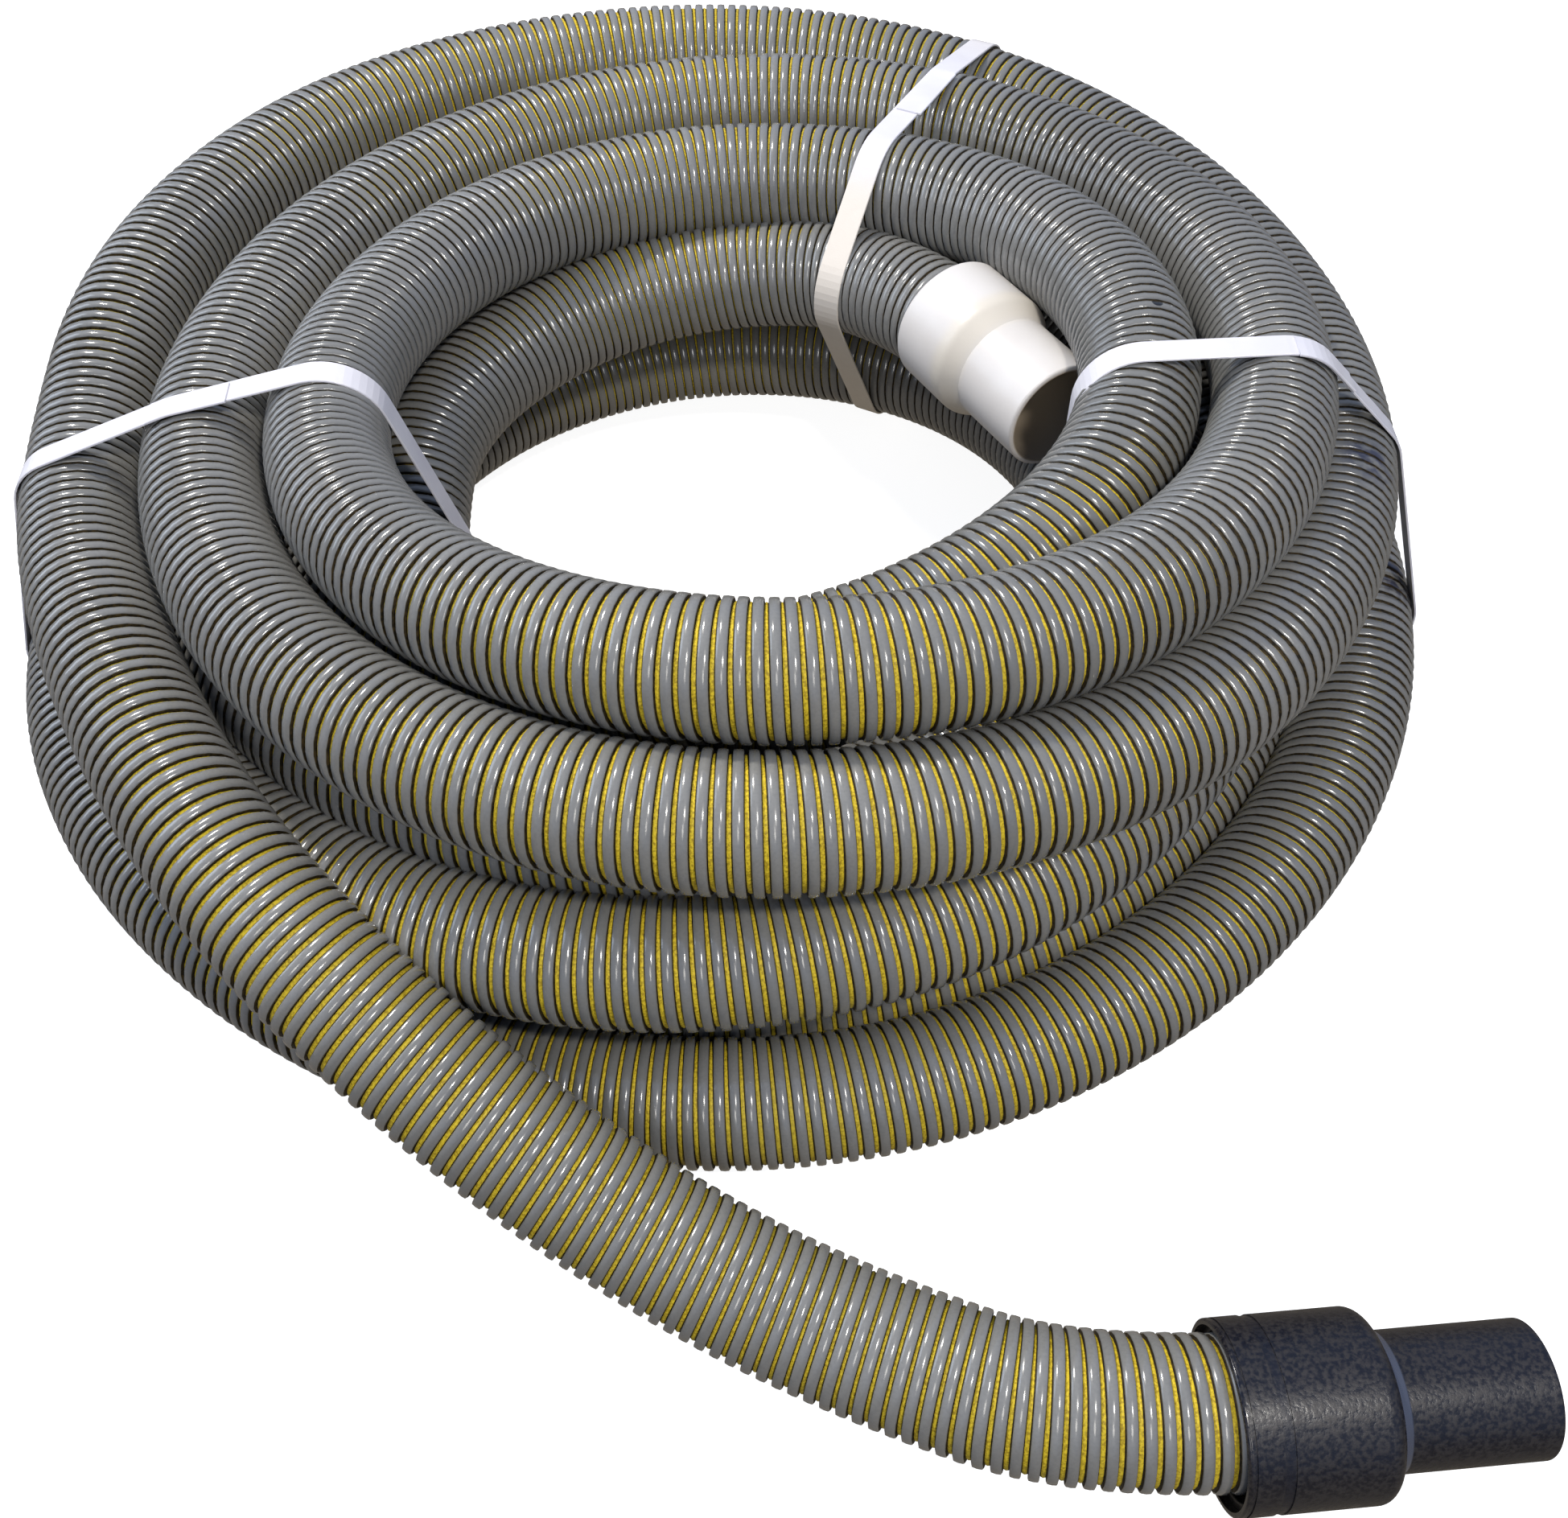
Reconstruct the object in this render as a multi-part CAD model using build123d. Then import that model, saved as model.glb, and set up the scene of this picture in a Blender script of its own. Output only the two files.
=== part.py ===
"""Pool vacuum hose: a long spiral-wound hose tied in a coil, with a swivel cuff and a fixed cuff.

Millimetres, +Z up. The origin is on the floor, at the middle of the object's footprint. The hose's free end
leaves the coil at the left (-X), crosses the front (-Y) and ends in the swivel cuff. The fixed cuff lies
inside the coil. Positions below are given from the coil's own axis and moved to the footprint's middle last.
"""
import math
import os

from build123d import *

# Hose
HOSE_OD = 48.0
HOSE_ID = 38.0
HOSE_R = HOSE_OD / 2
HOSE_SLOT_R = HOSE_R + 0.3

# From the coil's axis to the middle of the whole footprint
FOOTPRINT_SHIFT = (-2.4, 40.2, 0.0)

# Coil, as one solid: two elliptic rings (centre x, centre y, x radius, y radius, bottom, top)
FLOOR_RING = (2.0, 15.0, 312.0, 286.0, 0.0, 50.0)
SECOND_RING = (-13.0, 36.0, 272.0, 272.0, 50.0, 98.0)
HOLE = (8.0, 14.0, 135.0)
EDGE_ROUND = 20.0
# The third ring is wider where the outermost turn lies, up to where the free end leaves it
THIRD_TOP = 150.0
OUTER_LEFT = 294.0
OUTER_BACK = 302.0
OUTER_RIGHT = 269.0
OUTER_FRONT = 236.0
# The top turns as round rings (radius of the turn's middle, its height, its own radius), and the fill between
TOP_TURNS = ((212.0, 162.0, 24.0), (162.0, 173.0, 24.0))
TOP_FILL = (162.0, 212.0, 182.0)

# Middle of the hose along the free end, from the coil to just before the swivel cuff
FREE_END = [
    (-269.0, 0.0, 125.0),
    (-257.5, -61.5, 123.0),
    (-216.0, -144.5, 123.0),
    (-164.0, -216.0, 110.0),
    (-90.0, -270.5, 69.0),
    (-22.0, -307.0, 38.0),
    (42.0, -334.5, 24.5),
    (118.4, -362.8, 29.5),
]

# Middle of the hose along the inner end, from the lower turns to just before the fixed cuff
INNER_END = [
    (-141.5, -22.0, 87.0),
    (-139.5, 53.0, 102.5),
    (-82.0, 118.0, 111.0),
    (-3.0, 137.0, 121.5),
    (71.5, 115.9, 130.5),
]

# Swivel cuff: where its mouth is, and its outline along its own axis from there
SWIVEL_MOUTH = (155.7, -359.5, 29.5)
SWIVEL_HEADING = 5.0  # degrees from +X
SLEEVE_R = 29.5
SLEEVE_LENGTH = 50.0
SLEEVE_SHOULDER = 5.5
NECK_R = 23.2
NOZZLE_START = 54.0
NOZZLE_R = 21.4
CUFF_LENGTH = 102.0
NOZZLE_BORE_R = 19.0
SLEEVE_BORE_R = 26.9
BORE_SHOULDER = 46.5
# Shallow grooves round the sleeve: start, end, radius at the bottom
LIP_GROOVE = (1.8, 2.6, 29.1)
BAND_GROOVE = (11.0, 14.5, 29.1)
# Retaining ring, set back in the mouth
RETAINER_START = 3.0
RETAINER_END = 7.0
RETAINER_OUTER_R = 27.6
RETAINER_INNER_R = 25.2
COLLAR_R = 26.6
COLLAR_START = 7.3
COLLAR_END = 44.0
SEAL_START = 44.3
SEAL_R = (20.5, 26.5)
SWIVEL_HOSE_STOP = 43.5

# Fixed cuff, likewise
FIXED_MOUTH = (93.0, 79.8, 133.0)
FIXED_HEADING = -60.0
FIXED_SLEEVE_R = 28.5
FIXED_SLEEVE_LENGTH = 32.0
FIXED_SHOULDER = 8.0
FIXED_NOZZLE_START = 41.0
FIXED_NOZZLE_R = 23.6
FIXED_LENGTH = 79.0
FIXED_BORE_R = 21.4
FIXED_HOSE_STOP = 30.0
FIXED_CLEARANCE = 1.0

# Packing straps: the direction of the strap's upright plane in degrees (0 is +X, 90 is +Y), how far the plane
# stands left of the coil's axis, and the loop's inner outline as (distance outward, height) corners
STRAPS = {
    "strap_left": (184.3, 12.0, [(150, 1), (311, 1), (298, 152), (160, 197.5), (106, 137), (108, 66)]),
    "strap_back": (62.8, 11.0, [(158, 1), (300, 1), (319, 62), (296, 166), (150, 197), (93, 150), (99, 104)]),
    "strap_right": (
        0.0,
        -20.5,
        [(150, 1), (314, 1), (314, 32), (272, 150), (228, 188), (152, 197.5), (134, 162), (136, 50)],
    ),
}
STRAP_WIDTH = 12.0
STRAP_THICKNESS = 0.8
STRAP_CORNER = 14.0
SLOT_SIDE_GAP = 0.3

BEND_SHARE = 0.45


def turned(outline):
    """A solid of revolution about X from an outline of (distance along X, radius) corners."""
    face = make_face(Polyline(*[(x, radius, 0) for x, radius in outline], close=True))
    return revolve(face, axis=Axis.X)


def circles_at(solid, x, radius):
    """The circular edges of a turned solid at one distance along X and one radius."""
    edges = solid.edges().filter_by(GeomType.CIRCLE)
    return [edge for edge in edges if abs(edge.center().X - x) < 0.01 and abs(edge.radius - radius) < 0.01]


def turned_ring(start, end, inner, outer):
    return turned([(start, inner), (end, inner), (end, outer), (start, outer)])


def cuff_place(mouth, heading):
    """A cuff's own frame: +X along its axis, away from the hose."""
    return Location(mouth, (0, 0, heading))


def along_cuff(mouth, heading, distance):
    angle = math.radians(heading)
    return (mouth[0] + distance * math.cos(angle), mouth[1] + distance * math.sin(angle), mouth[2])


def elliptic_ring(centre_x, centre_y, x_radius, y_radius, bottom, top):
    """A solid disc whose outer edges are rounded like the hose."""
    disc = extrude(Ellipse(x_radius, y_radius), top - bottom)
    disc = fillet(disc.edges(), EDGE_ROUND)
    return Location((centre_x, centre_y, bottom)) * disc


def third_ring():
    """A disc that winds in by one hose between the left side and the front."""
    wide = ThreePointArc((-OUTER_LEFT, 0), (0, OUTER_BACK), (OUTER_RIGHT, 0))
    narrow = ThreePointArc((OUTER_RIGHT, 0), (0, -OUTER_FRONT), (-OUTER_FRONT, 0))
    outline = make_face([wide, narrow, Line((-OUTER_FRONT, 0), (-OUTER_LEFT, 0))])
    bottom = SECOND_RING[5]
    return Location((0, 0, bottom)) * extrude(outline, THIRD_TOP - bottom)


def strap_place(direction, left):
    """A strap's own frame: +X outward, +Y up."""
    return Location((0, 0, 0), (0, 0, direction)) * Location((0, left, 0), (90, 0, 0))


def strap_outline(corners, grow=0.0):
    outline = make_face(Polyline(*corners, close=True))
    outline = fillet(outline.vertices(), STRAP_CORNER)
    return offset(outline, grow) if grow else outline


def strap(name):
    """A closed band around all the turns at one side of the coil."""
    direction, left, corners = STRAPS[name]
    band = strap_outline(corners, STRAP_THICKNESS) - strap_outline(corners)
    return strap_place(direction, left) * extrude(band, STRAP_WIDTH / 2, both=True)


def strap_slot(name):
    """Everything outside a strap's inner outline, over the strap's width."""
    direction, left, corners = STRAPS[name]
    around = Location((210, 100)) * Rectangle(300, 300) - strap_outline(corners)
    return strap_place(direction, left) * extrude(around, STRAP_WIDTH / 2 + SLOT_SIDE_GAP, both=True)


def route(points):
    """A path of straight runs and tangent arcs, each arc as large as its two runs allow."""
    radii = []
    for before, corner, after in zip(points, points[1:], points[2:]):
        run_in = Vector(*corner) - Vector(*before)
        run_out = Vector(*after) - Vector(*corner)
        turn = math.radians(run_in.get_angle(run_out))
        radii.append(BEND_SHARE * min(run_in.length, run_out.length) / math.tan(turn / 2))
    print("bend radii", [round(radius) for radius in radii])
    return FilletPolyline(*points, radius=radii)


def swept(points, section):
    path = route(points)
    return path, sweep(Plane(path @ 0, z_dir=path % 0) * section, path=path)


def hose_tube(name, points):
    """A hollow length of hose along a route, with its length and volume printed."""
    path, tube = swept(points, Circle(HOSE_R) - Circle(HOSE_ID / 2))
    section = math.pi * (HOSE_R**2 - HOSE_ID**2 / 4)
    share = tube.volume / (section * path.length)
    print(name, "length", round(path.length, 1), "volume over section x length", round(share, 4))
    return tube


def free_end_points():
    return FREE_END + [along_cuff(SWIVEL_MOUTH, SWIVEL_HEADING, SWIVEL_HOSE_STOP)]


def inner_end_points():
    return INNER_END + [along_cuff(FIXED_MOUTH, FIXED_HEADING, FIXED_HOSE_STOP)]


def hose_coil():
    """The outer shape of all the wound turns, as one solid."""
    coil = elliptic_ring(*FLOOR_RING) + elliptic_ring(*SECOND_RING) + third_ring()
    inner, outer, top = TOP_FILL
    coil += Location((0, 0, (THIRD_TOP + top) / 2)) * Cylinder(outer, top - THIRD_TOP)
    hole_x, hole_y, hole_r = HOLE
    coil -= Location((hole_x, hole_y, 48)) * Cylinder(hole_r, 100)
    coil -= Location((0, 0, 200)) * Cylinder(inner - 25, 206)
    for radius, height, thickness in TOP_TURNS:
        coil += Location((0, 0, height)) * Torus(radius, thickness)
    for name in STRAPS:
        coil -= strap_slot(name)
    for points in (free_end_points(), inner_end_points()):
        coil -= swept(points, Circle(HOSE_SLOT_R))[1]
    room = turned_ring(-12, FIXED_LENGTH + 6, 0, FIXED_SLEEVE_R + FIXED_CLEARANCE)
    return coil - cuff_place(FIXED_MOUTH, FIXED_HEADING) * room


def grooved(radius, *grooves):
    """Corners of a sleeve's outside, from its mouth on, with shallow grooves round it."""
    corners = []
    for start, end, bottom in grooves:
        corners += [(start, radius), (start, bottom), (end, bottom), (end, radius)]
    return corners


def swivel_cuff():
    """The outer housing: a sleeve with a rounded shoulder and a bevelled neck that steps down to the nozzle."""
    housing = turned(
        [
            (0, RETAINER_OUTER_R),
            (0, SLEEVE_R),
            *grooved(SLEEVE_R, LIP_GROOVE, BAND_GROOVE),
            (SLEEVE_LENGTH, SLEEVE_R),
            (SLEEVE_LENGTH, NECK_R),
            (NOZZLE_START, NOZZLE_R),
            (CUFF_LENGTH, NOZZLE_R),
            (CUFF_LENGTH, NOZZLE_BORE_R),
            (BORE_SHOULDER, NOZZLE_BORE_R),
            (BORE_SHOULDER, SLEEVE_BORE_R),
            (RETAINER_END, SLEEVE_BORE_R),
            (RETAINER_END, RETAINER_OUTER_R),
        ]
    )
    housing = fillet(circles_at(housing, SLEEVE_LENGTH, SLEEVE_R), SLEEVE_SHOULDER)
    housing = fillet(circles_at(housing, CUFF_LENGTH, NOZZLE_R), 1.2)
    housing = fillet(circles_at(housing, 0, SLEEVE_R), 0.8)
    return housing


def retaining_ring():
    """The ring inside the swivel cuff's mouth that keeps the collar in."""
    ring = turned_ring(RETAINER_START, RETAINER_END, RETAINER_INNER_R, RETAINER_OUTER_R)
    return fillet(circles_at(ring, RETAINER_START, RETAINER_INNER_R), 0.8)


def swivel_collar():
    """The sleeve fixed on the hose's end, inside the swivel cuff."""
    return turned_ring(COLLAR_START, COLLAR_END, HOSE_R, COLLAR_R)


def seal_ring():
    return turned_ring(SEAL_START, BORE_SHOULDER, *SEAL_R)


def white_cuff():
    """The cuff fixed on the inner end: a sleeve that narrows softly to the nozzle."""
    cuff = turned(
        [
            (0, HOSE_R),
            (0, FIXED_SLEEVE_R),
            (FIXED_SLEEVE_LENGTH, FIXED_SLEEVE_R),
            (FIXED_NOZZLE_START, FIXED_NOZZLE_R),
            (FIXED_LENGTH, FIXED_NOZZLE_R),
            (FIXED_LENGTH, FIXED_BORE_R),
            (FIXED_HOSE_STOP, FIXED_BORE_R),
            (FIXED_HOSE_STOP, HOSE_R),
        ]
    )
    cuff = fillet(circles_at(cuff, FIXED_SLEEVE_LENGTH, FIXED_SLEEVE_R), FIXED_SHOULDER)
    cuff = fillet(circles_at(cuff, FIXED_LENGTH, FIXED_NOZZLE_R), 1.2)
    cuff = fillet(circles_at(cuff, 0, FIXED_SLEEVE_R), 1.5)
    return cuff


def parts():
    """Every node's solid, in the coil's own frame."""
    swivel = cuff_place(SWIVEL_MOUTH, SWIVEL_HEADING)
    solids = {
        "hose_coil": hose_coil(),
        "hose_free_end": hose_tube("hose_free_end", free_end_points()),
        "hose_inner_end": hose_tube("hose_inner_end", inner_end_points()),
        "swivel_cuff": swivel * swivel_cuff(),
        "retaining_ring": swivel * retaining_ring(),
        "swivel_collar": swivel * swivel_collar(),
        "seal_ring": swivel * seal_ring(),
        "white_cuff": cuff_place(FIXED_MOUTH, FIXED_HEADING) * white_cuff(),
    }
    for name in STRAPS:
        solids[name] = strap(name)
    return solids


os.makedirs("parts", exist_ok=True)
for node, solid in parts().items():
    box = solid.bounding_box()
    print(node, len(solid.solids()), [round(v, 1) for v in (*box.min, *box.max)])
    export_step(Location(FOOTPRINT_SHIFT) * solid, f"parts/{node}.step")
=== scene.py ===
"""Pool vacuum hose tied in a coil: a ribbed spiral hose, a swivel cuff, a fixed cuff and three straps."""
import math

import bmesh
import bpy
import numpy as np
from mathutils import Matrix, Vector


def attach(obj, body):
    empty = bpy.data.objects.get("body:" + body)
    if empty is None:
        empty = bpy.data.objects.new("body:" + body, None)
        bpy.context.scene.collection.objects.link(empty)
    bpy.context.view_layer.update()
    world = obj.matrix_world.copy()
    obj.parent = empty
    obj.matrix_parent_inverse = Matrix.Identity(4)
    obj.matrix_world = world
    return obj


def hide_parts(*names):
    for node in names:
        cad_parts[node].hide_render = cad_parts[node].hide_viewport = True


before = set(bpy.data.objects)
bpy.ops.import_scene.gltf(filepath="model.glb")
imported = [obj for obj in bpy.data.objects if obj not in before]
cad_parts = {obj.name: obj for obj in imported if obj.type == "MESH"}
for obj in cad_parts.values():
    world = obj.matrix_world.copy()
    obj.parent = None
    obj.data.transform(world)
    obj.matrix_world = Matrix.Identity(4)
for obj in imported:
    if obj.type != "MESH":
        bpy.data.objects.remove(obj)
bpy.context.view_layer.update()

# Sizes in metres, from part.py
COIL_AXIS = Vector((-0.0024, 0.0402, 0.0))
HOSE_OD = 0.048
HOSE_R = HOSE_OD / 2
BORE_R = 0.019
WALL_R = 0.0212

# The coil lies in lanes, side by side, and in layers, one on another: the innermost lane's radius, and how
# far a lane and a layer are from the next
INNER_LANE = 0.160
LANE_WIDTH = HOSE_OD * 1.08
LAYER_RISE = HOSE_OD * 0.84
# Each turn's lane and layer at the left, the back, the right and the front, from the free end inwards: three
# turns spiral in over the top, three spiral out under them, and three come in again along the floor
TURNS = [
    [(2, 2.75), (2.25, 3.25), (1.6, 2.75), (1, 3)],
    [(1, 3), (1.3, 3.25), (1, 3.5), (0.25, 3.75)],
    [(0, 3.25), (0, 3.25), (0, 3.5), (-0.6, 2.5)],
    [(0.5, 2.25), (0.5, 2.25), (0.25, 2.25), (0.5, 2)],
    [(1.25, 2), (1.5, 2), (1, 1.75), (1.25, 1.5)],
    [(2, 1.5), (2.35, 2.2), (1.35, 0.65), (0.8, 0)],
    [(1.25, 0.5), (2.5, 1.1), (2.2, 0.65), (1.7, 0)],
    [(2.55, 0.5), (1.75, 0), (0.7, 0), (-0.1, 0)],
    [(0.5, 0.25), (0.35, 0.6), (0, 1), (-0.5, 1.25)],
]
LAST_PLACE = (-0.25, 1.5)
# Where a turn stands out from that smooth winding: (turns from the first left, lanes out, layers up)
BULGES = [(0.11, 0.4, 0.1), (6.86, -0.1, 0), (7.12, 0, -0.4)]
BULGE_LENGTH = 0.09
POINTS_PER_TURN = 24
# The last turn stops this share of a turn early, where the inner end takes over
TURNS_CUT = 0.05
# A control point stands this much outside the round turn that the spline makes of it
POINT_SPREAD = 4 / (3 + math.cos(2 * math.pi / POINTS_PER_TURN))

# The hose's middle where it isn't wound, in metres from the coil's axis
FREE_END = [
    (-0.2690, 0.0000, 0.1250),
    (-0.2575, -0.0615, 0.1230),
    (-0.2160, -0.1445, 0.1230),
    (-0.1640, -0.2160, 0.1100),
    (-0.0900, -0.2705, 0.0690),
    (-0.0220, -0.3070, 0.0380),
    (0.0420, -0.3345, 0.0245),
    (0.1184, -0.3628, 0.0295),
]
INNER_END = [
    (-0.1415, -0.0220, 0.0870),
    (-0.1395, 0.0530, 0.1025),
    (-0.0820, 0.1180, 0.1110),
    (-0.0030, 0.1370, 0.1215),
    (0.0715, 0.1159, 0.1305),
]

# The cuffs' mouths, where they point, and how far in the hose goes
SWIVEL_MOUTH = Vector((0.1557, -0.3595, 0.0295))
SWIVEL_HEADING = math.radians(5)
SWIVEL_HOSE_STOP = 0.0435
FIXED_MOUTH = Vector((0.0930, 0.0798, 0.1330))
FIXED_HEADING = math.radians(-60)
FIXED_HOSE_STOP = 0.030

# The hose's rib: the grey band's turns stand this far apart on the outer side of a bend, and close up on
# its inner side, where the band narrows to a share of the room
PITCH = 0.00585
BAND_WIDTH = 0.0036
WIDEST_BAND = 0.84
LEAST_ROOM = 0.002
BAND_EDGE = 0.0003
GROOVE_R = 0.0218
GROOVE_RISE = 0.0005
BAND_STEPS = 28
BAND_PIECES = 14
# Turns of the band left off at the two ends of the hose
BAND_START = 0.6
BAND_CUT = 1.6

WALL_SIDES = 24
WALL_STEP = 0.0084


# ---------------------------------------------------------------- the route


def along(mouth, heading, distance):
    """A place on a cuff's axis."""
    return mouth + Vector((math.cos(heading), math.sin(heading), 0)) * distance


def smooth_between(values, position):
    """A smooth curve through evenly spaced values, read at a fractional position."""
    last = len(values) - 1
    index = min(int(position), last - 1)
    t = position - index
    p0 = values[max(index - 1, 0)]
    p1 = values[index]
    p2 = values[index + 1]
    p3 = values[min(index + 2, last)]
    return 0.5 * (
        2 * p1
        + (p2 - p0) * t
        + (2 * p0 - 5 * p1 + 4 * p2 - p3) * t**2
        + (3 * p1 - p0 - 3 * p2 + p3) * t**3
    )


def turn_place(turns):
    """Radius and height of the wound hose after so many turns from the left."""
    places = [place for turn in TURNS for place in turn]
    places.append(LAST_PLACE)
    position = turns * len(TURNS[0])
    lane = smooth_between([place[0] for place in places], position)
    layer = smooth_between([place[1] for place in places], position)
    for place, lanes_out, layers_up in BULGES:
        share = math.exp(-(((turns - place) / BULGE_LENGTH) ** 2))
        lane += lanes_out * share
        layer += layers_up * share
    return INNER_LANE + LANE_WIDTH * lane, HOSE_R + LAYER_RISE * max(layer, 0)


def on_hose(turns, lean):
    """A place on the wound hose's surface, so many degrees outward from its top."""
    radius, height = turn_place(turns)
    radius += HOSE_R * math.sin(math.radians(lean))
    height += HOSE_R * math.cos(math.radians(lean))
    angle = 2 * math.pi * turns
    return COIL_AXIS + Vector((-radius * math.cos(angle), radius * math.sin(angle), height))


def coil_points():
    """Control points of the wound turns, from just after the left of the first to the front of the last."""
    points = []
    count = int((len(TURNS) - TURNS_CUT) * POINTS_PER_TURN)
    for index in range(1, count + 1):
        turns = index / POINTS_PER_TURN
        radius, height = turn_place(turns)
        angle = 2 * math.pi * turns
        spread = radius * POINT_SPREAD
        points.append(Vector((-spread * math.cos(angle), spread * math.sin(angle), height)))
    return points


def route_points():
    """Control points of the whole hose, from inside the swivel cuff to inside the fixed cuff."""
    points = [along(SWIVEL_MOUTH, SWIVEL_HEADING, SWIVEL_HOSE_STOP)]
    points += [Vector(point) for point in reversed(FREE_END)]
    points += coil_points()
    points += [Vector(point) for point in INNER_END]
    points.append(along(FIXED_MOUTH, FIXED_HEADING, FIXED_HOSE_STOP))
    return [point + COIL_AXIS for point in points]


def spline_line(points):
    """The smooth line of a NURBS spline with these control points, as an array of places."""
    curve = bpy.data.curves.new("hose_route", "CURVE")
    curve.dimensions = "3D"
    curve.resolution_u = 24
    spline = curve.splines.new("NURBS")
    spline.points.add(len(points) - 1)
    for point, place in zip(spline.points, points):
        point.co = (*place, 1.0)
    spline.order_u = 3
    spline.use_endpoint_u = True
    carrier = bpy.data.objects.new("hose_route", curve)
    bpy.context.collection.objects.link(carrier)
    mesh = bpy.data.meshes.new_from_object(carrier)
    line = np.array([vertex.co[:] for vertex in mesh.vertices])
    bpy.data.objects.remove(carrier)
    bpy.data.curves.remove(curve)
    bpy.data.meshes.remove(mesh)
    return line


class Line:
    """The hose's middle line, read at any distance along it."""

    def __init__(self, places, step=0.001):
        steps = np.linalg.norm(np.diff(places, axis=0), axis=1)
        keep = np.concatenate([[True], steps > 1e-7])
        places = places[keep]
        distance = np.concatenate([[0], np.cumsum(np.linalg.norm(np.diff(places, axis=0), axis=1))])
        self.length = float(distance[-1])
        self.s = np.linspace(0, self.length, int(self.length / step) + 1)
        self.c = np.stack([np.interp(self.s, distance, places[:, k]) for k in range(3)], axis=1)
        # Direction along the line, the two directions across it, and its curvature
        self.t = unit(np.gradient(self.c, self.s, axis=0))
        self.t = unit(blur(self.t, 8))
        self.n = unit(np.cross(np.array([0.0, 0.0, 1.0]), self.t))
        self.b = np.cross(self.t, self.n)
        self.k = blur(np.gradient(self.t, self.s, axis=0), 25)
        # Turns of the band so far
        outer_rate = (1 + HOSE_R * np.linalg.norm(self.k, axis=1)) / PITCH
        self.winding = np.concatenate([[0], np.cumsum(outer_rate[:-1] * np.diff(self.s))])

    def read(self, table, s):
        """One of the line's tables at any distances along it."""
        return np.stack([np.interp(s, self.s, table[:, k]) for k in range(3)], axis=-1)

    def outward(self, s, angle):
        """The direction away from the line at an angle round it."""
        across = np.cos(angle)[..., None] * self.read(self.n, s)
        return across + np.sin(angle)[..., None] * self.read(self.b, s)

    def surface(self, s, angle, radius):
        """Points at a distance along the line, an angle round it and a radius from it."""
        return self.read(self.c, s) + radius[..., None] * self.outward(s, angle)

    def stretch(self, s, angle, radius):
        """How much longer the hose's surface is than its middle line at a place round it."""
        return 1 - radius * np.sum(self.outward(s, angle) * self.read(self.k, s), axis=-1)


def unit(vectors):
    return vectors / np.linalg.norm(vectors, axis=1, keepdims=True)


def blur(table, half):
    """A running mean over a few samples each side."""
    weights = np.hanning(2 * half + 3)[1:-1]
    weights /= weights.sum()
    padded = np.pad(table, ((half, half), (0, 0)), mode="edge")
    columns = [np.convolve(column, weights, mode="valid") for column in padded.T]
    return np.stack(columns, axis=1)


# ---------------------------------------------------------------- meshes


def grid_mesh(name, points, materials, wrap_rows=False, wrap_columns=False, slots=None):
    """A mesh over a grid of points (rows, columns, 3), with a material slot for each column's faces."""
    rows, columns = points.shape[:2]
    index = np.arange(rows * columns).reshape(rows, columns)
    next_row = np.roll(index, -1, axis=0)
    next_column = np.roll(index, -1, axis=1)
    corner = np.roll(next_row, -1, axis=1)
    faces = np.stack([index, next_column, corner, next_row], axis=-1)
    if not wrap_rows:
        faces = faces[:-1]
    if not wrap_columns:
        faces = faces[:, :-1]
    face_columns = faces.shape[1]
    face_rows = faces.shape[0]
    mesh = bpy.data.meshes.new(name)
    mesh.from_pydata(points.reshape(-1, 3).tolist(), [], faces.reshape(-1, 4).tolist())
    for material in materials:
        mesh.materials.append(material)
    if slots is not None:
        mesh.polygons.foreach_set("material_index", np.tile(np.array(slots[:face_columns]), face_rows))
    mesh.polygons.foreach_set("use_smooth", np.ones(len(mesh.polygons), dtype=bool))
    mesh.update()
    piece = bpy.data.objects.new(name, mesh)
    bpy.context.collection.objects.link(piece)
    return piece


def hose_wall(line, material):
    """The hose's inner wall: a hollow tube, closed at both ends."""
    rings = int(line.length / WALL_STEP)
    outer_s = np.linspace(0, line.length, rings)
    all_s = np.concatenate([outer_s, outer_s[::-1]])
    radius = np.concatenate([np.full(rings, WALL_R), np.full(rings, BORE_R)])
    angle = np.linspace(0, 2 * math.pi, WALL_SIDES, endpoint=False)
    grid_s = np.repeat(all_s[:, None], WALL_SIDES, axis=1)
    grid_angle = np.repeat(angle[None, :], len(all_s), axis=0)
    grid_radius = np.repeat(radius[:, None], WALL_SIDES, axis=1)
    points = line.surface(grid_s, grid_angle, grid_radius)
    return grid_mesh("hose_wall", points, [material], wrap_rows=True, wrap_columns=True)


# Across the band: (side of the middle, metres in from the edge, radius)
BAND_PROFILE = [
    (-1, 0.0, 0.0219),
    (-1, 0.0, 0.0233),
    (-1, BAND_EDGE, 0.02385),
    (0, 0.0, 0.0240),
    (1, BAND_EDGE, 0.02385),
    (1, 0.0, 0.0233),
    (1, 0.0, 0.0219),
]
# Across the groove, to the next turn of the band, as shares of its width
GROOVE_PLACES = [0.20, 0.53, 0.86, 1.0]
# The material slots of the faces between those: 0 the band, 1 its dark sides and the groove's edges beside
# them, dark brown partly as painted shade in the groove's corners, 2 the yellow wall
STRIP_SLOTS = [1, 0, 0, 0, 0, 1, 1, 2, 2, 1]


def band_row(line, steps):
    """Where the band's middle is at some steps of its helix, the stretch there and its half width."""
    angle = 2 * math.pi * steps / BAND_STEPS
    middle = np.interp(steps / BAND_STEPS, line.winding, line.s)
    stretch = line.stretch(middle, angle, HOSE_R)
    next_middle = np.interp(steps / BAND_STEPS + 1, line.winding, line.s)
    room = (next_middle - middle) * stretch
    half = np.minimum(BAND_WIDTH, WIDEST_BAND * np.maximum(room, LEAST_ROOM)) / 2
    return angle, middle, stretch, half


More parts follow.
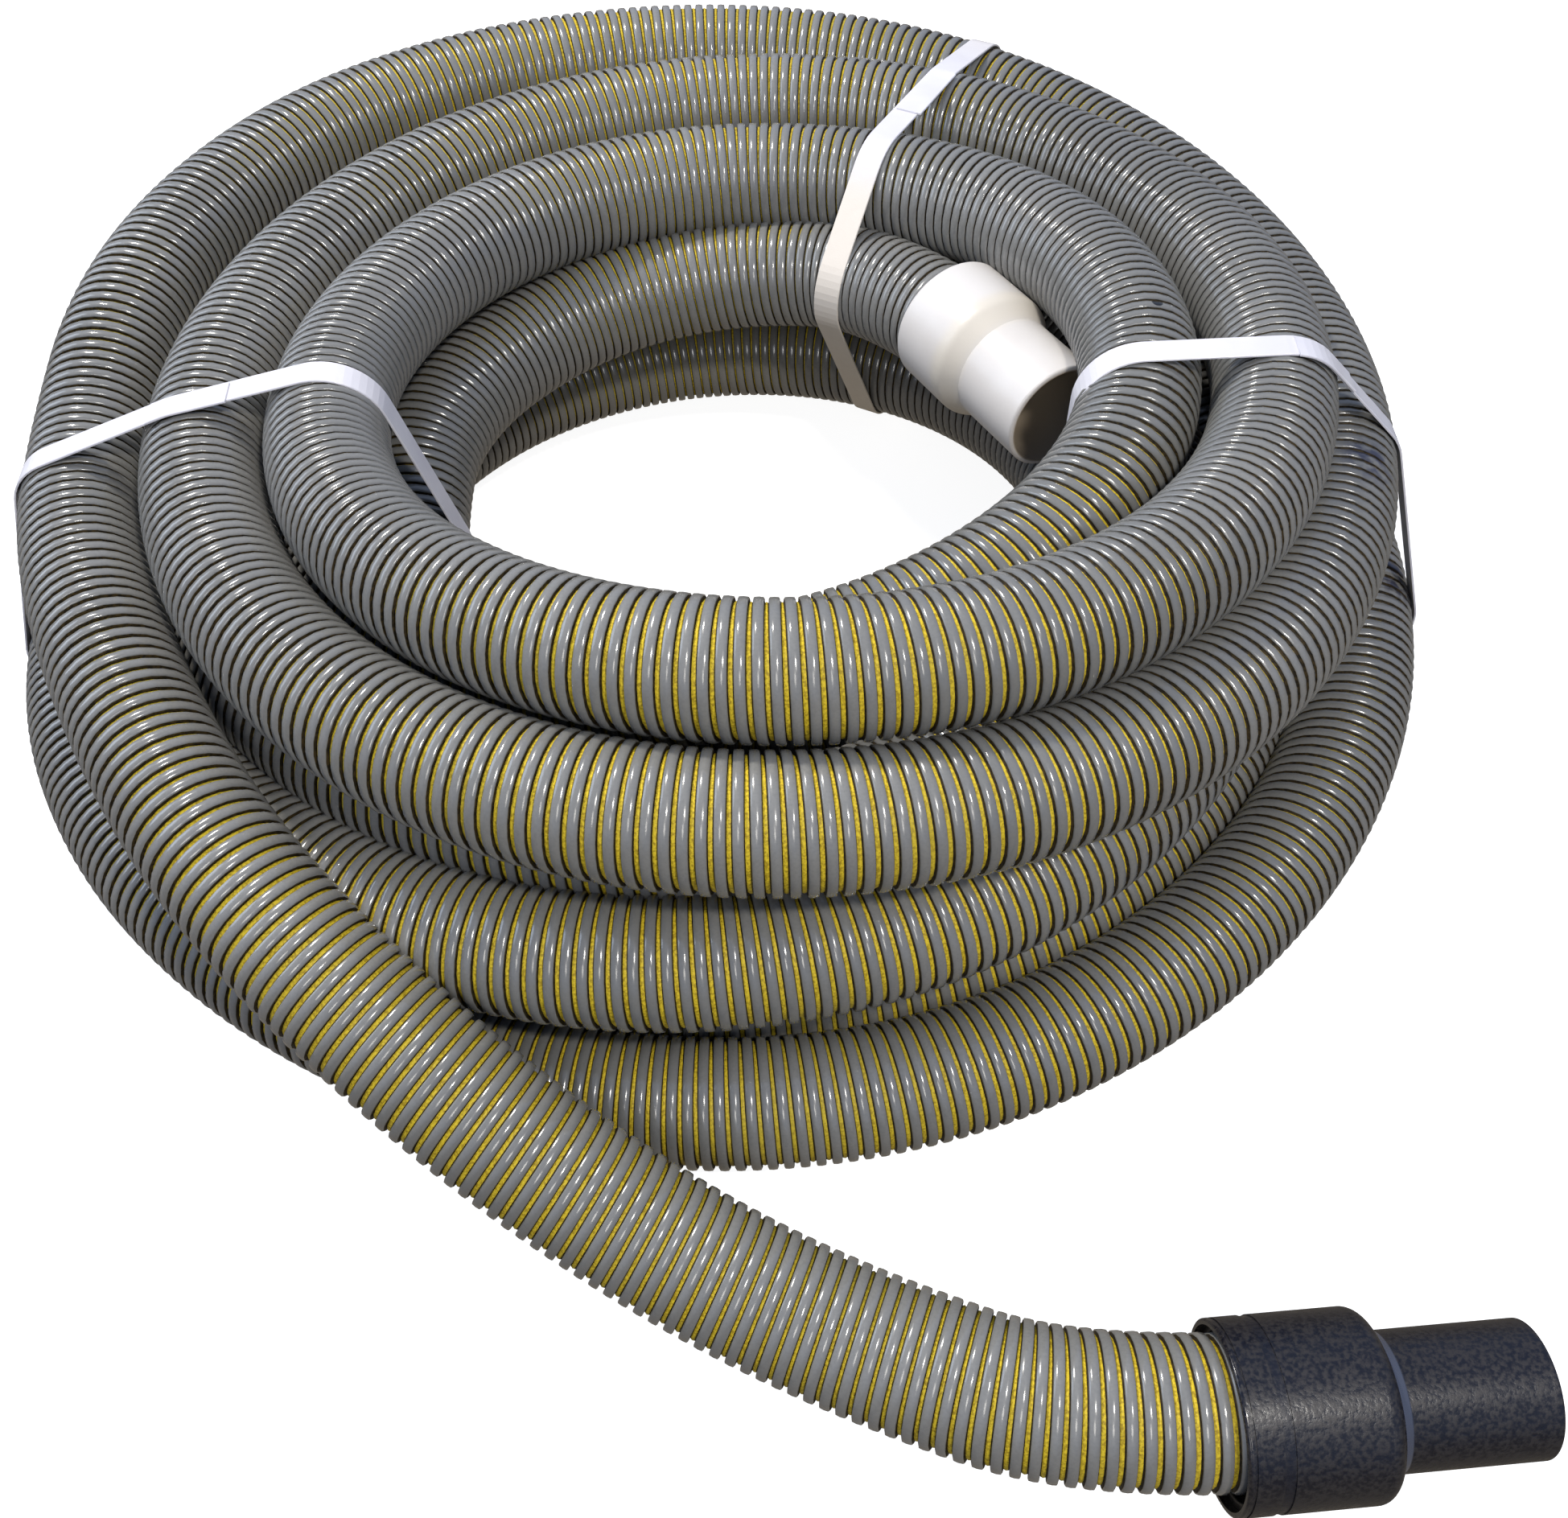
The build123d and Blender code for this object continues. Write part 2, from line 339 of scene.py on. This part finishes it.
def hose_band(name, line, first, last, materials):
    """One length of the band and its groove, from one turn of the helix to another."""
    steps = np.arange(int(first * BAND_STEPS), int(last * BAND_STEPS) + 1)
    angle, middle, stretch, half = band_row(line, steps)
    _, next_middle, next_stretch, next_half = band_row(line, steps + BAND_STEPS)
    columns = []
    for side, inward, radius in BAND_PROFILE:
        place = middle + side * (half - inward) / stretch
        columns.append(line.surface(place, angle, np.full(len(steps), radius)))
    groove_start = middle + half / stretch
    groove_end = next_middle - next_half / next_stretch
    for share in GROOVE_PLACES:
        place = groove_start + (groove_end - groove_start) * share
        rise = GROOVE_RISE * math.sin(math.pi * share)
        columns.append(line.surface(place, angle, np.full(len(steps), GROOVE_R + rise)))
    points = np.stack(columns, axis=1)
    return grid_mesh(name, points, materials, slots=STRIP_SLOTS)


# ---------------------------------------------------------------- materials


class Look:
    """A Principled material whose detail comes from procedural nodes."""

    def __init__(self, name, specular=0.5):
        self.material = bpy.data.materials.new(name)
        self.material.use_nodes = True
        self.tree = self.material.node_tree
        self.shader = self.tree.nodes["Principled BSDF"]
        self.shader.inputs["Specular IOR Level"].default_value = specular
        self.place = self.add("ShaderNodeTexCoord").outputs["Object"]

    def add(self, kind, **settings):
        node = self.tree.nodes.new(kind)
        for setting, value in settings.items():
            setattr(node, setting, value)
        return node

    def join(self, source, target):
        """Link an output, or set a fixed value, on an input."""
        if isinstance(source, bpy.types.NodeSocket):
            self.tree.links.new(source, target)
        else:
            target.default_value = source

    def noise(self, scale, detail=2.0):
        node = self.add("ShaderNodeTexNoise")
        self.join(self.place, node.inputs["Vector"])
        node.inputs["Scale"].default_value = scale
        node.inputs["Detail"].default_value = detail
        return node.outputs["Fac"]

    def band(self, value, low, high, to_low=0.0, to_high=1.0):
        """A value moved from one range to another, smoothly, and held at its ends."""
        node = self.add("ShaderNodeMapRange", interpolation_type="SMOOTHSTEP")
        self.join(value, node.inputs["Value"])
        limits = {"From Min": low, "From Max": high, "To Min": to_low, "To Max": to_high}
        for socket, number in limits.items():
            node.inputs[socket].default_value = number
        return node.outputs["Result"]

    def work_out(self, operation, first, second):
        node = self.add("ShaderNodeMath", operation=operation)
        self.join(first, node.inputs[0])
        self.join(second, node.inputs[1])
        return node.outputs["Value"]

    def join_colour(self, colour, target):
        """Link an output, or set a fixed (red, green, blue), on a colour input."""
        self.join(colour if isinstance(colour, bpy.types.NodeSocket) else (*colour, 1), target)

    def mix(self, share, first, second):
        """A colour between two, at a share of the way."""
        node = self.add("ShaderNodeMix", data_type="RGBA")
        self.join(share, node.inputs["Factor"])
        targets = [socket for socket in node.inputs if socket.type == "RGBA"]
        self.join_colour(first, targets[0])
        self.join_colour(second, targets[1])
        return [socket for socket in node.outputs if socket.type == "RGBA"][0]

    def away_from(self, point):
        """Distance from a point of the object."""
        node = self.add("ShaderNodeVectorMath", operation="DISTANCE")
        self.join(self.place, node.inputs[0])
        node.inputs[1].default_value = point
        return node.outputs["Value"]

    def with_axis(self, operation, start, heading):
        """A vector operation between the way from a cuff's mouth and the cuff's axis."""
        offset = self.add("ShaderNodeVectorMath", operation="SUBTRACT")
        self.join(self.place, offset.inputs[0])
        offset.inputs[1].default_value = start
        node = self.add("ShaderNodeVectorMath", operation=operation)
        self.join(offset.outputs["Vector"], node.inputs[0])
        node.inputs[1].default_value = (math.cos(heading), math.sin(heading), 0)
        return node

    def along(self, start, heading):
        """Distance along a cuff's axis from its mouth."""
        return self.with_axis("DOT_PRODUCT", start, heading).outputs["Value"]

    def radius(self, start, heading):
        """Distance from a cuff's axis."""
        across = self.with_axis("CROSS_PRODUCT", start, heading)
        length = self.add("ShaderNodeVectorMath", operation="LENGTH")
        self.join(across.outputs["Vector"], length.inputs[0])
        return length.outputs["Value"]

    def between(self, value, low, high, soft):
        """1 between two values, 0 outside them."""
        rise = self.band(value, low - soft, low + soft)
        fall = self.band(value, high - soft, high + soft, 1.0, 0.0)
        return self.work_out("MULTIPLY", rise, fall)

    def finish(self, colour, roughness, height=None, depth=0.0001):
        """Give the shader its colour and roughness, and a bump if there is a height."""
        self.join_colour(colour, self.shader.inputs["Base Color"])
        self.join(roughness, self.shader.inputs["Roughness"])
        if height is not None:
            bump = self.add("ShaderNodeBump")
            bump.inputs["Strength"].default_value = 0.6
            bump.inputs["Distance"].default_value = depth
            self.join(height, bump.inputs["Height"])
            self.join(bump.outputs["Normal"], self.shader.inputs["Normal"])
        return self.material


# Marks on the band: (turns from the first left, degrees outward from the hose's top, and a scuff's radius)
SCUFFS = [(0.53, 20, 0.016), (6.51, 30, 0.018)]
SPECK = (2.49, 10)
SPECK_R = 0.0021


def band_look():
    """Smooth grey plastic, slightly uneven in colour, with a few dark rubbed marks."""
    look = Look("band_grey", 0.7)
    tone = look.band(look.noise(9.0, 3.0), 0.3, 0.7)
    grain = look.noise(900.0)
    colour = look.mix(tone, (0.140, 0.139, 0.132), (0.178, 0.176, 0.167))
    colour = look.mix(look.band(grain, 0.35, 0.75, 0.0, 0.25), colour, (0.11, 0.11, 0.105))
    for turns, lean, size in SCUFFS:
        away = look.away_from(on_hose(turns, lean))
        mark = look.band(away, size * 0.3, size, 0.85, 0.0)
        mark = look.work_out("MULTIPLY", mark, look.band(look.noise(160.0), 0.35, 0.6))
        colour = look.mix(mark, colour, (0.012, 0.014, 0.040))
    speck = look.band(look.away_from(on_hose(*SPECK)), SPECK_R, SPECK_R + 0.0005, 1.0, 0.0)
    colour = look.mix(speck, colour, (0.005, 0.005, 0.005))
    roughness = look.band(look.noise(35.0, 3.0), 0.3, 0.7, 0.14, 0.21)
    return look.finish(colour, roughness, grain, 0.00004)


def groove_brown_and_shade_look():
    """The band's dark brown sides, down to the wall, and the groove's edges beside them: partly the plastic's
    own brown, partly painted shade in the deep groove.
    """
    look = Look("groove_brown_and_shade", 0.2)
    grain = look.band(look.noise(700.0), 0.35, 0.65)
    # Painted shade: the groove's corners are dark brown, darker than the plastic's own brown
    colour = look.mix(grain, (0.010, 0.008, 0.005), (0.040, 0.027, 0.010))
    return look.finish(colour, look.band(look.noise(300.0), 0.3, 0.7, 0.5, 0.7))


def wall_look():
    """The yellow wall, mottled with brown."""
    look = Look("wall_yellow", 0.2)
    grain = look.noise(1100.0, 3.0)
    colour = look.mix(look.band(grain, 0.35, 0.7), (0.64, 0.48, 0.028), (0.31, 0.21, 0.012))
    colour = look.mix(look.band(look.noise(14.0), 0.45, 0.75, 0.0, 0.5), colour, (0.36, 0.29, 0.04))
    return look.finish(colour, look.band(look.noise(90.0), 0.3, 0.7, 0.45, 0.6), grain, 0.00008)


# Along the black cuff from its mouth: the smooth lip's end, the groove's and the neck bevel's two ends
LIP_END = 0.0008
GROOVE_ENDS = (0.0112, 0.0143)
BEVEL_ENDS = (0.0503, 0.0538)


def black_look():
    """Satin black moulding with a fine grain, smooth and glossy on the neck's bevel and round the mouth, with
    painted shade in the groove's ring and a painted bluish reflection on the bevel.
    """
    look = Look("cuff_black", 0.42)
    grain = look.noise(650.0, 3.0)
    along_cuff = look.along(SWIVEL_MOUTH + COIL_AXIS, SWIVEL_HEADING)
    bevel = look.between(along_cuff, *BEVEL_ENDS, 0.0004)
    lip = look.band(along_cuff, LIP_END, LIP_END + 0.0006, 1.0, 0.0)
    ring = look.between(along_cuff, *GROOVE_ENDS, 0.0006)
    smooth = look.work_out("MAXIMUM", bevel, lip)
    colour = look.mix(look.band(grain, 0.35, 0.65), (0.003, 0.0035, 0.008), (0.018, 0.016, 0.017))
    # Painted shade: the groove's ring is darker and bluer, for the shade in the shallow groove
    colour = look.mix(look.work_out("MULTIPLY", ring, 0.7), colour, (0.004, 0.005, 0.011))
    # Painted reflection: the glossy bevel is a lighter bluish grey, for the sky's sheen on it
    colour = look.mix(bevel, colour, (0.050, 0.058, 0.085))
    rough = look.band(grain, 0.35, 0.65, 0.30, 0.48)
    rough = look.work_out("SUBTRACT", rough, look.band(smooth, 0.0, 1.0, 0.0, 0.16))
    height = look.work_out("MULTIPLY", grain, look.band(smooth, 0.0, 1.0, 1.0, 0.0))
    return look.finish(colour, rough, height, 0.00025)


def collar_look():
    """Dark grey plastic and rubber, hidden in the black cuff."""
    look = Look("collar_dark", 0.4)
    tone = look.band(look.noise(600.0), 0.3, 0.7)
    colour = look.mix(tone, (0.018, 0.018, 0.018), (0.034, 0.033, 0.032))
    return look.finish(colour, look.band(look.noise(200.0), 0.3, 0.7, 0.45, 0.6))


# On the white cuff: the shoulder's two ends along it, and the bore's radius
SHOULDER_ENDS = (0.027, 0.041)
FIXED_BORE_R = 0.0214


def white_look():
    """Soft white plastic, creamier on the shoulder, brown-grey inside its open end."""
    look = Look("cuff_white", 0.5)
    along_cuff = look.along(FIXED_MOUTH + COIL_AXIS, FIXED_HEADING)
    tone = look.band(look.noise(22.0, 3.0), 0.3, 0.7)
    colour = look.mix(tone, (0.52, 0.49, 0.46), (0.56, 0.535, 0.51))
    shoulder = look.between(along_cuff, *SHOULDER_ENDS, 0.005)
    colour = look.mix(look.band(shoulder, 0.0, 1.0, 0.0, 0.85), colour, (0.54, 0.495, 0.42))
    from_axis = look.radius(FIXED_MOUTH + COIL_AXIS, FIXED_HEADING)
    bore = look.band(from_axis, FIXED_BORE_R + 0.0002, FIXED_BORE_R + 0.0008, 1.0, 0.0)
    past_hose = look.band(along_cuff, FIXED_HOSE_STOP, FIXED_HOSE_STOP + 0.002)
    colour = look.mix(look.work_out("MULTIPLY", bore, past_hose), colour, (0.30, 0.25, 0.19))
    fine = look.noise(500.0, 3.0)
    return look.finish(colour, look.band(fine, 0.3, 0.7, 0.32, 0.42), fine, 0.00005)


def strap_look():
    """White packing strap with a faint lilac cast, creamier low down at the back of the opening."""
    look = Look("strap_white", 0.5)
    tone = look.band(look.noise(40.0, 3.0), 0.3, 0.7)
    colour = look.mix(tone, (0.55, 0.54, 0.58), (0.61, 0.60, 0.63))
    parts = look.add("ShaderNodeSeparateXYZ")
    look.join(look.place, parts.inputs["Vector"])
    below_top = look.band(parts.outputs["Z"], 0.165, 0.185, 1.0, 0.0)
    behind = look.band(parts.outputs["Y"], 0.06, 0.10)
    colour = look.mix(look.work_out("MULTIPLY", below_top, behind), colour, (0.62, 0.57, 0.505))
    fine = look.noise(1300.0)
    return look.finish(colour, look.band(look.noise(260.0), 0.3, 0.7, 0.30, 0.42), fine, 0.00006)


FLOOR_GLOW = 0.92


def floor_look():
    """A white studio floor that glows, so that the shadows on it stay pale."""
    look = Look("floor", 0.0)
    look.shader.inputs["Emission Color"].default_value = (1, 1, 1, 1)
    look.shader.inputs["Emission Strength"].default_value = FLOOR_GLOW
    return look.finish(look.mix(look.noise(2.0), (0.42, 0.42, 0.42), (0.44, 0.44, 0.44)), 0.9)


# ---------------------------------------------------------------- straps

STRAP_WIDTH = 0.012
STRAP_THICKNESS = 0.0008
# How far the straps stand off the hose and off the floor
STRAP_STAND = 0.0004
STRAP_LOWEST = 0.0003
STRAP_STEP = 0.003
HULL_SIDES = 72
# Each strap's upright plane: its direction in degrees (0 is +X, 90 is +Y) and how far it stands left of the
# coil's axis; and its lap: where it starts along the loop from the loop's innermost place, its length, and
# how far its tail lies to the side
STRAPS = {
    "strap_left": (184.3, 0.012, 0.418, 0.036, 0.0014),
    "strap_back": (62.8, 0.011, 0.472, 0.042, -0.0014),
    "strap_right": (0.0, -0.0205, 0.453, 0.030, -0.0012),
}


def hull(points):
    """The convex outline of some flat points, anticlockwise."""
    points = sorted(set(points))

    def half(ordered):
        chain = []
        for point in ordered:
            while len(chain) > 1 and cross(chain[-2], chain[-1], point) <= 0:
                chain.pop()
            chain.append(point)
        return chain[:-1]

    return half(points) + half(points[::-1])


def cross(a, b, c):
    """Above 0 where the way from a to b to c turns left."""
    return (b[0] - a[0]) * (c[1] - a[1]) - (b[1] - a[1]) * (c[0] - a[0])


def section_at(line, out, left, offset):
    """The (distance outward, height) of each turn where it crosses an upright plane."""
    places = line.c - np.array(COIL_AXIS)
    depth = places @ left - offset
    radius = places @ out
    crossing = np.nonzero((depth[:-1] * depth[1:] <= 0) & (radius[:-1] > 0.02))[0]
    return [(float(radius[i]), float(places[i, 2])) for i in crossing]


def strap_path(line, out, left, offset):
    """The loop drawn tight round all the turns at one side, as evenly spaced (distance outward, height)."""
    ring = np.linspace(0, 2 * math.pi, HULL_SIDES, endpoint=False)
    reach = HOSE_R + STRAP_STAND
    cloud = []
    for radius, height in section_at(line, out, left, offset):
        for a in ring:
            up = max(STRAP_LOWEST, height + reach * math.sin(a))
            cloud.append((round(radius + reach * math.cos(a), 6), round(up, 6)))
    outline = np.array(hull(cloud))
    closed = np.vstack([outline, outline[:1]])
    distance = np.concatenate([[0], np.cumsum(np.linalg.norm(np.diff(closed, axis=0), axis=1))])
    at = np.linspace(0, distance[-1], int(distance[-1] / STRAP_STEP), endpoint=False)
    return np.stack([np.interp(at, distance, closed[:, k]) for k in range(2)], axis=1)


def strip(name, path, normal, out, left, offsets, lift, material, closed):
    """A flat strip along a path in an upright plane, lifted off it and at some offsets to the left."""
    half = STRAP_WIDTH / 2
    edge = STRAP_THICKNESS * 0.3
    section = [
        (-half, 0),
        (-half, STRAP_THICKNESS - edge),
        (-half + edge, STRAP_THICKNESS),
        (half - edge, STRAP_THICKNESS),
        (half, STRAP_THICKNESS - edge),
        (half, 0),
    ]
    rows = []
    for across, height in section:
        flat = path + normal * (height + lift)
        flat[:, 1] = np.maximum(flat[:, 1], 0.0002)
        side = (offsets + across)[:, None] * left
        rows.append(flat[:, :1] * out + flat[:, 1:] * np.array([0, 0, 1]) + side + np.array(COIL_AXIS))
    points = np.stack(rows, axis=1)
    piece = grid_mesh(name, points, [material], wrap_rows=closed, wrap_columns=True)
    if not closed:
        close_ends(piece)
    piece.data.polygons.foreach_set("use_smooth", np.zeros(len(piece.data.polygons), dtype=bool))
    return piece


def close_ends(piece):
    """Fill the two open ends of a strip."""
    shape = bmesh.new()
    shape.from_mesh(piece.data)
    bmesh.ops.holes_fill(shape, edges=[edge for edge in shape.edges if edge.is_boundary])
    shape.to_mesh(piece.data)
    shape.free()


def strap(name, line, material):
    """A flat band drawn tight round all the turns at one side of the coil, and the tail that laps over it."""
    direction, offset, lap_start, lap_length, lap_side = STRAPS[name]
    angle = math.radians(direction)
    out = np.array([math.cos(angle), math.sin(angle), 0])
    left = np.array([-math.sin(angle), math.cos(angle), 0])
    path = strap_path(line, out, left, offset)
    ahead = unit(np.roll(path, -1, axis=0) - np.roll(path, 1, axis=0))
    normal = np.stack([ahead[:, 1], -ahead[:, 0]], axis=1)
    level = np.full(len(path), offset)
    band = strip(name + "_band", path, normal, out, left, level, 0.0, material, True)
    first = int(lap_start / STRAP_STEP)
    chosen = np.arange(first, first + int(lap_length / STRAP_STEP) + 1) % len(path)
    slant = offset + np.linspace(0.8, 1.2, len(chosen)) * lap_side
    lap_path = path[chosen]
    lap_normal = normal[chosen]
    lap = strip(name + "_lap", lap_path, lap_normal, out, left, slant, STRAP_THICKNESS, material, False)
    return band, lap


# ---------------------------------------------------------------- the object


def build_hose():
    """The hose along its whole route: the wall and the band, attached to one body."""
    line = Line(spline_line(route_points()))
    yellow = wall_look()
    wall = hose_wall(line, yellow)
    turns = float(line.winding[-1]) - BAND_CUT
    skin = [band_look(), groove_brown_and_shade_look(), yellow]
    bands = []
    for index in range(BAND_PIECES):
        first = BAND_START + (turns - BAND_START) * index / BAND_PIECES
        last = BAND_START + (turns - BAND_START) * (index + 1) / BAND_PIECES
        bands.append(hose_band(f"hose_band_{index + 1:02d}", line, first, last, skin))
    for piece in (wall, *bands):
        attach(piece, "hose")
    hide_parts("hose_coil", "hose_free_end", "hose_inner_end")
    return line


def build_straps(line):
    """The three straps, in place of the CAD's plain ones."""
    material = strap_look()
    for name in STRAPS:
        band, lap = strap(name, line, material)
        for piece in (band, lap):
            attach(piece, "hose")
        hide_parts(name)


def dress_cad():
    """The looks of the pieces that stay as the CAD has them."""
    black = black_look()
    dark = collar_look()
    looks = {
        "swivel_cuff": black,
        "retaining_ring": black,
        "swivel_collar": dark,
        "seal_ring": dark,
        "white_cuff": white_look(),
    }
    for node, material in looks.items():
        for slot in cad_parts[node].material_slots:
            slot.material = material


# ---------------------------------------------------------------- the studio

# From the coil's axis
CAMERA_PLACE = Vector((0.019, -0.523, 0.546))
CAMERA_PITCH = math.radians(49.9)
# Both in millimetres
SENSOR_WIDTH = 36
FOCAL_LENGTH = 36.39


def build_camera():
    data = bpy.data.cameras.new("camera")
    data.sensor_width = SENSOR_WIDTH
    data.lens = FOCAL_LENGTH
    camera = bpy.data.objects.new("camera", data)
    camera.location = CAMERA_PLACE + COIL_AXIS
    camera.rotation_euler = (math.pi / 2 - CAMERA_PITCH, 0, 0)
    bpy.context.collection.objects.link(camera)
    bpy.context.scene.camera = camera


FLOOR_REACH = 8
FLOOR_DROP = 0.0005


def build_floor():
    """A wide floor just under the object, which throws no light back onto it."""
    corners = [(x * FLOOR_REACH, y * FLOOR_REACH, 0) for x, y in ((-1, -1), (1, -1), (1, 1), (-1, 1))]
    mesh = bpy.data.meshes.new("floor")
    mesh.from_pydata(corners, [], [(0, 1, 2, 3)])
    mesh.materials.append(floor_look())
    floor = bpy.data.objects.new("floor", mesh)
    bpy.context.collection.objects.link(floor)
    floor.location = (0, 0, -FLOOR_DROP)
    floor.visible_diffuse = False
    floor.visible_glossy = False


def area_light(name, place, target, size, power, colour):
    """A round lamp at a place from the coil's axis, turned towards a target."""
    place = COIL_AXIS + Vector(place)
    data = bpy.data.lights.new(name, "AREA")
    data.shape = "DISK"
    data.size = size
    data.energy = power
    data.color = colour
    lamp = bpy.data.objects.new(name, data)
    lamp.location = place
    lamp.rotation_euler = (target - place).to_track_quat("-Z", "Y").to_euler()
    bpy.context.collection.objects.link(lamp)


GROUND_LIGHT = (0.24, 0.21, 0.17, 1)
SKY_LIGHT = (0.38, 0.47, 0.68, 1)


def build_surround():
    """Pale blue light from above, dimmer and warmer light from below."""
    world = bpy.data.worlds.new("world")
    world.use_nodes = True
    nodes = world.node_tree.nodes
    links = world.node_tree.links
    direction = nodes.new("ShaderNodeTexCoord")
    parts = nodes.new("ShaderNodeSeparateXYZ")
    links.new(direction.outputs["Generated"], parts.inputs["Vector"])
    rise = nodes.new("ShaderNodeMapRange")
    rise.interpolation_type = "SMOOTHSTEP"
    rise.inputs["From Min"].default_value = -0.25
    rise.inputs["From Max"].default_value = 0.35
    links.new(parts.outputs["Z"], rise.inputs["Value"])
    ramp = nodes.new("ShaderNodeValToRGB")
    ramp.color_ramp.elements[0].color = GROUND_LIGHT
    ramp.color_ramp.elements[1].color = SKY_LIGHT
    links.new(rise.outputs["Result"], ramp.inputs["Fac"])
    links.new(ramp.outputs["Color"], nodes["Background"].inputs["Color"])
    bpy.context.scene.world = world


def build_light():
    """Small warm lamps behind on the left and in front on the right, a soft one in front, and a window."""
    build_surround()
    middle = Vector((0, 0, 0.1))
    warm = (1.0, 0.95, 0.87)
    area_light("lamp_back", (-0.6, 0.5, 1.3), middle, 0.13, 19, warm)
    area_light("lamp_front", (0.35, -0.75, 1.2), middle, 0.13, 10, warm)
    area_light("fill", (0.0, -1.6, 1.2), middle, 0.6, 7, warm)
    area_light("window", (-1.5, 0.3, 0.9), middle, 1.1, 10, (0.72, 0.83, 1.0))


line = build_hose()
build_straps(line)
dress_cad()
build_camera()
build_floor()
build_light()
bpy.context.scene.view_settings.view_transform = "Standard"
